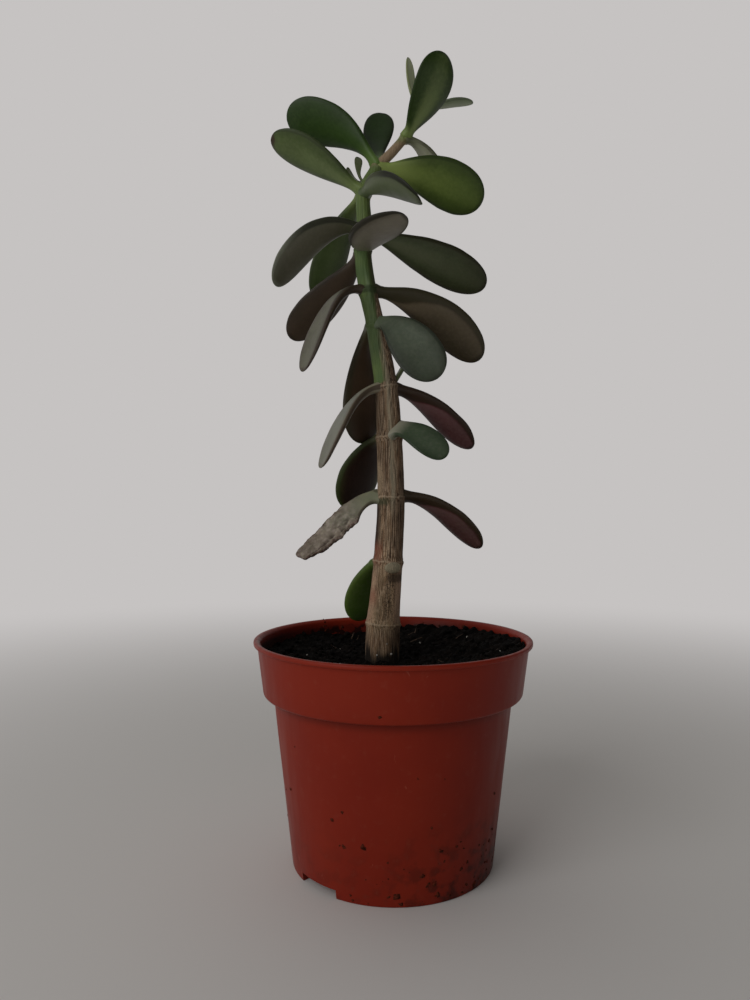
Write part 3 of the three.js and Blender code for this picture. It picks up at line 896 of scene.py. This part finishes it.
def pot_profile():
    """Corners of the wall's section as (radius, height, rounding)."""
    wall, bottom, foot_inside = POT.wall, POT.collar_bottom, POT.foot_radius - POT.foot_width
    return [
        (0, POT.floor_bottom, 0),
        (foot_inside, POT.floor_bottom, 0.5),
        (foot_inside, 0, 0.35),
        (POT.foot_radius, 0, POT.foot_rounding),
        (wall_radius(bottom), bottom, 0.3),
        (POT.collar_radius, bottom, POT.collar_rounding),
        (collar_radius_at(LIP_BOTTOM), LIP_BOTTOM, 0.5),
        (POT.rim_radius, LIP_BOTTOM, POT.lip_rounding),
        (POT.rim_radius, POT.height, POT.lip_rounding),
        (POT.rim_radius - POT.rim_width, POT.height, 0.4),
        (collar_radius_at(LIP_BOTTOM) - wall, LIP_BOTTOM + POT.lip_rounding, 0.7),
        (POT.collar_radius - wall, bottom + wall, 0.8),
        (wall_radius(bottom) - wall, bottom + wall, 0.8),
        (wall_radius(FLOOR_TOP) - wall, FLOOR_TOP, 0.8),
        (0, FLOOR_TOP, 0),
    ]


def rounded(corners, steps=5):
    """The corners' polyline with each corner turned into a short arc, without its ends."""
    places = [Vector(c[:2]) for c in corners]
    path = []
    for before, corner, after, (_, _, rounding) in zip(places, places[1:], places[2:], corners[1:]):
        before, after = before - corner, after - corner
        cut = min(rounding, 0.48 * before.length, 0.48 * after.length)
        first = corner + before.normalized() * cut
        last = corner + after.normalized() * cut
        for s in range(steps + 1):
            t = s / steps
            path.append(first * (1 - t) ** 2 + corner * 2 * t * (1 - t) + last * t * t)
    return path


def split_long(path, longest):
    """The path with extra points, so no stretch is longer than longest."""
    out = [path[0]]
    for a, b in zip(path, path[1:]):
        parts = max(1, math.ceil((b - a).length / longest))
        out += [a.lerp(b, i / parts) for i in range(1, parts + 1)]
    return out


def turned(path, sides, wobble):
    """Points and faces of a path turned round Z and closed at its ends."""
    rows = []
    for radius, height in path:
        row = []
        for k in range(sides):
            angle = TURN * k / sides
            place = Vector((math.cos(angle), math.sin(angle), 0))
            out = radius + wobble * ripple(place * 30 + UP * height, 22, 2)
            row.append(Vector((out * place.x, out * place.y, height)))
        rows.append(row)
    return round_axis(UP * path[0].y, rows, UP * path[-1].y)


def cutters():
    """One mesh of boxes and cylinders that cut the notches and the drainage holes."""
    tool = bmesh.new()
    for azimuth in POT.notch_azimuths:
        size = (4 * POT.foot_width, POT.notch_width, 2 * POT.notch_height)
        turn = Matrix.Rotation(math.radians(azimuth), 4, "Z")
        move = Matrix.Translation((POT.foot_radius, 0, 0))
        bmesh.ops.create_cube(tool, size=1, matrix=turn @ move @ Matrix.Diagonal((*size, 1)))
    for hole in range(POT.drain_holes):
        place = direction((hole + 0.5) * 360 / POT.drain_holes) * POT.drain_circle_radius
        place.z = POT.floor_bottom + POT.floor_thickness / 2
        bmesh.ops.create_cone(
            tool, cap_ends=True, segments=40, depth=2 * POT.floor_thickness,
            radius1=POT.drain_hole_radius, radius2=POT.drain_hole_radius,
            matrix=Matrix.Translation(place),
        )
    bmesh.ops.scale(tool, vec=(MM, MM, MM), verts=tool.verts)
    mesh = bpy.data.meshes.new("cutters")
    tool.to_mesh(mesh)
    tool.free()
    return placed("cutters", mesh)


def pot_paint():
    """Plastic with scuffs and dust, soil stains low at the right and inside the collar.

    It is also darker low at the right, has painted shade on the wall inside the collar and a
    painted shadow under the collar.
    """
    paint = Paint("pot_plastic", "7d2111", specular_ior_level=0.15)
    coat, ramp = paint.coat, paint.ramp
    x, _, height = paint.axes()
    broad, fine = paint.noise(22, 4), paint.noise(1600, 3)
    streaks = paint.noise(260, 4, (1, 1, 0.12))
    low_right = (height, 0, 0.04, 1, 0), (x, -0.015, 0.03, 0.25, 1)
    coat("862613", (broad, 0.3, 0.7))
    coat("7a2014", (streaks, 0.4, 0.75, 0, 0.1))
    coat("2a120c", (paint.noise(170, 7), 0.46, 0.62), *low_right, 0.75)
    # darker low at the right
    coat("2a140d", (height, 0, 0.035, 0.5, 0), (x, 0.02, 0.042))
    coat("b06a58", (paint.noise(240, 2, (1, 1, 0.35), 1.5), 0.74, 0.8, 0, 0.35))
    coat("a0705c", (paint.noise(340, 5), 0.55, 0.8, 0, 0.06))

    # depth under a cone just inside the collar's outer face
    collar, lip = POT.collar_bottom * MM, LIP_BOTTOM * MM
    cone_low, cone_high = (POT.collar_radius - 0.2) * MM, (POT.collar_top_radius - 0.2) * MM
    cone = ramp(height, collar, lip, cone_low, cone_high)
    depth = paint.math("SUBTRACT", cone, paint.from_axis())
    inside = (height, 0.0728, 0.0738), (height, 0.0905, 0.0935, 1, 0), (depth, 0.0004, 0.0009)
    ragged = paint.plus(height, ramp(paint.noise(230, 6), 0.35, 0.65, -0.0035, 0.0035))
    soil_and_shade = ramp(paint.noise(90, 4), 0.3, 0.65, 0.4, 0.75)
    for more in (x, -0.055, -0.03, 0.9, 0), (ragged, 0.0885, 0.09, 0.95, 0):
        soil_and_shade = paint.math("MAXIMUM", soil_and_shade, ramp(*more))
    # soil stains and painted shade on the wall inside the collar, above the soil
    coat("1c0c08", *inside, soil_and_shade)
    # painted shadow on the body under the collar
    coat("2c0c07", (height, 0.0672, 0.0718), (height, collar, collar + 0.0006, 0.35, 0))
    paint.set("Roughness", ramp(paint.plus(broad, streaks), 0.7, 1.3, 0.34, 0.5))
    paint.bump(fine, 0.00006, 0.25)
    paint.bump(broad, 0.0012, 0.12)
    return paint.done()


def make_pot():
    path = split_long(rounded(pot_profile()), LONGEST_EDGE)
    shape = turned(path, POT_SIDES, POT_WOBBLE)
    pot = new_piece("look_pot", shape, pot_paint(), ["pot"])
    tool = cutters()
    cut = pot.modifiers.new("cut", "BOOLEAN")
    cut.operation, cut.solver, cut.object = "DIFFERENCE", "MANIFOLD", tool
    done = bpy.data.meshes.new_from_object(pot.evaluated_get(bpy.context.evaluated_depsgraph_get()))
    pot.modifiers.clear()
    pot.data = done
    done.set_sharp_from_angle(angle=math.radians(40))
    bpy.data.objects.remove(tool)


make_pot()

# ---- soil

SOIL_RINGS = 110
SOIL_SIDES = 340


def soil_height(x, y):
    """The soil's height as in the solid."""
    waves = math.sin(TURN * x / SOIL.length_x) * math.cos(TURN * y / SOIL.length_y)
    waves += SOIL.ripple * math.sin(TURN * (x - y) / SOIL.ripple_length)
    away = math.hypot(x - SOIL.hollow[0], y - SOIL.hollow[1])
    dip = SOIL.hollow_depth * hump(away, 0, SOIL.hollow_radius)
    outward = math.hypot(x, y) / POT.collar_radius
    bowl = SOIL.edge_rise * outward**2 + SOIL.right_rise * x / POT.collar_radius
    return SOIL.centre_height + bowl + SOIL.clod_height * waves - dip


def beside_stem(x, y):
    return math.hypot(x - STEM.x, y) - stem_radius(SOIL.centre_height)


def soil_surface(x, y):
    """The soil's height with its crumbs and a low heap round the stem."""
    place = Vector((x, y, 0))
    lumps = ripple(place, 6.5, 4)
    crumbs = abs(ripple(place + Vector((50, 0, 0)), 2.2, 3))
    heap = 0.9 * math.exp(-max(0, beside_stem(x, y)) / 3)
    return soil_height(x, y) + 0.9 * lumps + 0.9 * crumbs + heap


def on_surface(x, y, lift=0):
    return Vector((x, y, soil_surface(x, y) + lift))


def make_soil():
    edge = collar_radius_at(SOIL.centre_height + SOIL.edge_rise) - POT.wall - 0.1
    shelf = POT.collar_bottom + POT.wall + SEAT_GAP
    floor_top = FLOOR_TOP + SEAT_GAP
    below = (
        (wall_radius(floor_top) - POT.wall - 0.4, floor_top),
        (wall_radius(POT.collar_bottom) - POT.wall - 0.4, shelf),
        (collar_radius_at(shelf) - POT.wall - SEAT_GAP, shelf),
    )
    ways = [direction(360 * k / SOIL_SIDES) for k in range(SOIL_SIDES)]
    rows = [[way * radius + UP * height for way in ways] for radius, height in below]
    for r in range(SOIL_RINGS):
        spots = [way * (edge * (1 - r / SOIL_RINGS)) for way in ways]
        rows.append([on_surface(spot.x, spot.y) for spot in spots])
    shape = round_axis(UP * floor_top, rows, on_surface(0, 0))
    new_piece("look_soil", shape, soil_paint(), ["soil"])


def soil_paint():
    paint = Paint("peat", "070504", roughness=0.95, specular_ior_level=0.08)
    clumps, grit = paint.noise(130, 5), paint.noise(900, 5)
    paint.coat("120d0a", (clumps, 0.35, 0.7))
    paint.coat("1e1712", (grit, 0.45, 0.75, 0, 0.35))
    paint.coat("3a2a1e", (paint.noise(700, 3, (1, 0.15, 1)), 0.68, 0.76, 0, 0.4))
    paint.bump(paint.plus(grit, clumps), 0.0012, 0.8)
    return paint.done()


make_soil()

# ---- crumbs, splashes and fibres

RAY_STEP = 0.1
RAY_STEPS = 2200

# where the photo shows crumbs of soil stuck to the pot, and how wide they are in mm
SPLASHES = (
    (317, 665, 1.2), (380, 717, 1.6), (295, 746, 1.2), (286, 789, 1), (291, 789, 1.4),
    (332, 819, 1.6), (342, 812, 1.2), (344, 846, 1.8), (364, 847, 2.4), (418, 778, 1),
    (445, 779, 1), (432, 828, 1.2), (422, 876, 2.2), (396, 896, 2.4), (494, 793, 1.6),
    (388, 862, 1.2), (404, 869, 1), (428, 885, 1.8), (438, 893, 2.4), (466, 884, 2),
    (492, 829, 1.8), (486, 850, 1.2), (464, 848, 1),
)

# the same on the far side of the wall's inside, above the soil
INNER_SPLASHES = (
    (325, 622, 1.6), (325, 626, 2), (326, 631, 1.8), (342, 627, 2), (344, 631, 1.4),
    (423, 624, 1.4), (439, 626, 1.8), (451, 629, 1.8), (464, 627, 2), (478, 629, 1.8),
    (492, 634, 2), (507, 640, 1.8),
)

# where it shows white grains, and the two largest clods
PERLITE = (
    (377, 655, 0.9), (391, 654, 1), (387, 644, 0.6), (307, 655, 0.8), (340, 649, 0.6),
    (420, 643, 0.9), (467, 637, 1.2), (500, 651, 0.7), (473, 647, 0.6),
)
CLODS = ((342, 632, 3.2), (300, 642, 2.6))

# where the camera's line starts to be followed, in mm: before the pot, past its near wall
# for the soil, and past the stem for the far wall
BEFORE_POT, PAST_RIM, PAST_STEM = 200, 265, 300


def grain_mesh(grains, roughness_share, seed, detail=1):
    """Points and faces of many small irregular grains: (place, size, flatness, axis)."""
    ball = bmesh.new()
    bmesh.ops.create_icosphere(ball, subdivisions=detail, radius=1)
    ball_points = [v.co.copy() for v in ball.verts]
    ball_faces = [tuple(v.index for v in f.verts) for f in ball.faces]
    ball.free()
    draw = random.Random(seed)
    shapes = []
    for place, size, flatness, axis in grains:
        spin = Matrix.Rotation(draw.uniform(0, TURN), 3, "Z")
        lay = UP.rotation_difference(axis).to_matrix()
        form = Matrix.Diagonal((draw.uniform(0.75, 1.3), draw.uniform(0.75, 1.2), flatness))
        offset = Vector((draw.uniform(0, 99), draw.uniform(0, 99), draw.uniform(0, 99)))
        points = []
        for p in ball_points:
            rough = 1 + roughness_share * noise.noise(p * 1.7 + offset)
            points.append(place + lay @ spin @ form @ (p * (size / 2 * rough)))
        shapes.append((points, ball_faces))
    return merged(shapes)


def on_soil(draw, least=9.5, most=55.5):
    """A random place on the soil, away from the stem."""
    while True:
        radius = most * math.sqrt(draw.random())
        spot = direction(draw.uniform(0, 360)) * radius
        if math.hypot(spot.x - STEM.x, spot.y) > least:
            return on_surface(spot.x, spot.y)


def seen(u, v, solid, start):
    """The first place, in mm, that solid holds on the camera's line through a pixel, or None."""
    wide, tall = PHOTO_SIZE
    pixels = LENS / SENSOR * tall
    way = Vector(((u - wide / 2) / pixels, (tall / 2 - v) / pixels, -1)).normalized()
    way.rotate(Matrix.Rotation(math.radians(90 + CAMERA_PITCH), 3, "X"))
    place = CAMERA_PLACE / MM + way * start
    for _ in range(RAY_STEPS):
        if solid(place):
            return place
        place += way * RAY_STEP
    return None


def in_pot(place):
    outside = wall_radius(place.z) if place.z < POT.collar_bottom else collar_radius_at(place.z)
    return place.z < POT.height and math.hypot(place.x, place.y) <= outside


def in_far_wall(place):
    inside = collar_radius_at(place.z) - POT.wall
    return place.y > 0 and place.z < POT.height - 1 and math.hypot(place.x, place.y) >= inside


def in_soil(place):
    return place.z <= soil_surface(place.x, place.y) or beside_stem(place.x, place.y) <= 0


def make_splashes():
    """Dried soil where the photo shows it, and more at random, mostly low at the right."""
    draw = random.Random(47)
    grains = []

    def add(place, size):
        """A flat grain on the pot, clear of the ground that the pot stands on."""
        outward = Vector((place.x, place.y, 0)).normalized()
        clear = Vector((place.x, place.y, max(place.z, 0.8 * size)))
        grains.append((clear - outward * 0.05, size, 0.3, outward))

    groups = ((SPLASHES, in_pot, BEFORE_POT), (INNER_SPLASHES, in_far_wall, PAST_STEM))
    for spots, solid, start in groups:
        for u, v, size in spots:
            for _ in range(4):
                aside = draw.uniform(-0.5, 0.5) * size, draw.uniform(-0.5, 0.5) * size
                place = seen(u + aside[0], v + aside[1], solid, start)
                grain = size * draw.uniform(0.5, 1.0)
                if place:
                    add(place, grain)
    for number in range(200):
        height = 1 + 22 * draw.random() ** 2
        azimuth = (draw.gauss(308, 22) if number < 110 else draw.uniform(0, 360)) % 360
        size = 0.3 + 1.7 * draw.random() ** 4
        from_notch = min(abs(azimuth - notch) for notch in POT.notch_azimuths)
        if height > POT.notch_height + 1 or from_notch > 18:
            add(direction(azimuth) * wall_radius(height) + UP * height, size)
    look = grain_paint(
        "dried_splash", "3e190f", "5e2818", (1400, 4), (0.35, 0.65), (0.0004, 0.6),
        roughness=0.9, specular_ior_level=0.1,
    )
    new_piece("soil_splashes", grain_mesh(grains, 0.9, 8), look)


def make_crumbs():
    """Loose crumbs all over the soil, and the clods that the photo shows."""
    draw = random.Random(11)
    grains = []
    for u, v, size in CLODS:
        place = seen(u, v, in_soil, PAST_RIM)
        most = POT.collar_radius - POT.wall - size
        inward = min(1, most / math.hypot(place.x, place.y))
        grains.append((Vector((place.x * inward, place.y * inward, place.z)), size, 0.8, UP))
    for _ in range(900):
        size = 0.7 + 2.6 * draw.random() ** 3
        place = on_soil(draw) + UP * size * 0.15
        grains.append((place, size, draw.uniform(0.6, 0.9), direction(draw.uniform(0, 360), 70)))
    new_piece("soil_crumbs", grain_mesh(grains, 0.9, 5), crumb_paint())


def crumb_paint():
    paint = Paint("peat_crumbs", "090706", roughness=0.95, specular_ior_level=0.08)
    grit = paint.noise(1300, 4)
    paint.coat("1e1713", (paint.noise(240, 2), 0.5, 0.75))
    paint.coat("2e241c", (grit, 0.5, 0.8, 0, 0.4))
    paint.bump(grit, 0.0006, 0.8)
    return paint.done()


def make_perlite():
    """White grains: those in the photo, and a few more at random on the front and middle of the
    soil.
    """
    draw = random.Random(23)
    grains = [(seen(u, v, in_soil, PAST_RIM), size, 0.85, UP) for u, v, size in PERLITE]
    for _ in range(9):
        size = draw.uniform(0.5, 1.1)
        place = on_soil(draw, 9, 50)
        if place.y > -20:
            place.y = -place.y
        grains.append((on_surface(place.x, place.y, size * 0.3), size, 0.85, UP))
    pores = (1500, 4), (0.4, 0.7), (0.0004, 0.7)
    look = grain_paint("perlite", "8f8a82", "c9c4bb", *pores, roughness=0.8)
    new_piece("perlite_grains", grain_mesh(grains, 0.5, 6, 2), look)


def twig(start, way, length, radius, bend, steps=8, sides=8):
    """Rings of a thin bent fibre that tapers to its tip."""
    side = way.orthogonal().normalized()
    other = way.cross(side).normalized()
    rings = []
    for step in range(steps + 1):
        share = step / steps
        middle = start + way * (length * share) + bend * (share * share * length)
        size = radius * (1 - 0.6 * share)
        angles = [TURN * k / sides for k in range(sides)]
        rings.append([middle + (side * math.cos(a) + other * math.sin(a)) * size for a in angles])
    return rings


def make_fibres():
    """Two sprigs that the photo shows at the back, and fibres at random."""
    draw = random.Random(31)
    sprigs = [
        (Vector((-32.5, 47, 86)), direction(100, 82), 9.5, 0.55, direction(200) * 0.1),
        (Vector((-20, 46, 84)), direction(30, 70), 5, 0.5, direction(20) * 0.1),
    ]
    for _ in range(16):
        place = on_soil(draw, 12)
        way = direction(draw.uniform(0, 360), draw.uniform(-4, 28))
        bend = direction(draw.uniform(0, 360)) * 0.3
        sprigs.append((place, way, draw.uniform(3, 8), draw.uniform(0.2, 0.45), bend))
    shape = merged(skin(twig(*sprig)) for sprig in sprigs)
    grain = (900, 3, (1, 1, 0.3)), (0.35, 0.65)
    look = grain_paint("fibre", "2a1e16", "5a4432", *grain, roughness=0.9)
    new_piece("soil_fibres", shape, look)


make_crumbs()
make_splashes()
make_perlite()
make_fibres()

# ---- camera, floor and light

BACKDROP = tone("c6c3c2")
FLOOR_HALF = 12
FLOOR_FADES = (0.12, 0.9)  # how far from the pot the floor turns into the backdrop

camera = placed("camera", bpy.data.cameras.new("camera"))
camera.data.lens, camera.data.sensor_width = LENS, SENSOR
camera.location = CAMERA_PLACE
camera.rotation_euler = (math.radians(90 + CAMERA_PITCH), 0, 0)
bpy.context.scene.camera = camera


def floor_paint():
    paint = Paint("floor", "d6d3cf", roughness=0.9, specular_ior_level=0.1)
    paint.coat("dcd9d6", paint.noise(3, 2))
    far = paint.ramp(paint.from_axis(), *FLOOR_FADES)
    glow = paint.node("Emission", {"Color": BACKDROP}).outputs[0]
    shade = paint.node("MixShader", {0: far, 1: paint.shader.outputs[0], 2: glow})
    output = next(n for n in paint.tree.nodes if n.type == "OUTPUT_MATERIAL")
    paint.wire(shade.outputs[0], output.inputs["Surface"])
    return paint.done()


floor_mesh = bpy.data.meshes.new("floor")
corners = [(x * FLOOR_HALF, y * FLOOR_HALF, 0) for x, y in ((-1, -1), (1, -1), (1, 1), (-1, 1))]
floor_mesh.from_pydata(corners, [], [(0, 1, 2, 3)])
floor_mesh.materials.append(floor_paint())
floor = placed("floor", floor_mesh)


def make_world():
    """A pale backdrop for the camera; softer light from behind, the left and above."""
    world = bpy.data.worlds.new("studio")
    world.use_nodes = True
    world.node_tree.nodes.clear()
    graph = Graph(world.node_tree)
    way = graph.node("TexCoord").outputs["Generated"]
    x, y, z = graph.node("SeparateXYZ", {0: way}).outputs
    behind = graph.times((y, -0.5, 0.9, 0.02, 0.35), (x, 0.1, 0.9, 1, 0.25))
    left, above = graph.ramp(x, 0.7, -0.9, 0, 0.14), graph.ramp(z, 0, 1, 0, 0.12)
    total = graph.plus(graph.plus(behind, left), above)
    lit = graph.node("Background", {"Color": (1, 0.98, 0.96, 1), "Strength": total})
    plain = graph.node("Background", {"Color": BACKDROP, "Strength": 1})
    ray = graph.node("LightPath").outputs["Is Camera Ray"]
    shade = graph.node("MixShader", {0: ray, 1: lit.outputs[0], 2: plain.outputs[0]})
    graph.node("OutputWorld", {"Surface": shade.outputs[0]})
    bpy.context.scene.world = world


make_world()
window = placed("window_left", bpy.data.lights.new("window_left", "AREA"))
window.data.shape, window.data.size, window.data.size_y = "RECTANGLE", 0.9, 1.1
window.data.energy = 6.8
window.location = (-0.85, -0.9, 0.65)
window.rotation_euler = (Vector((0, 0, 0.18)) - window.location).to_track_quat("-Z", "Y").to_euler()
bpy.context.scene.view_settings.view_transform = "Standard"
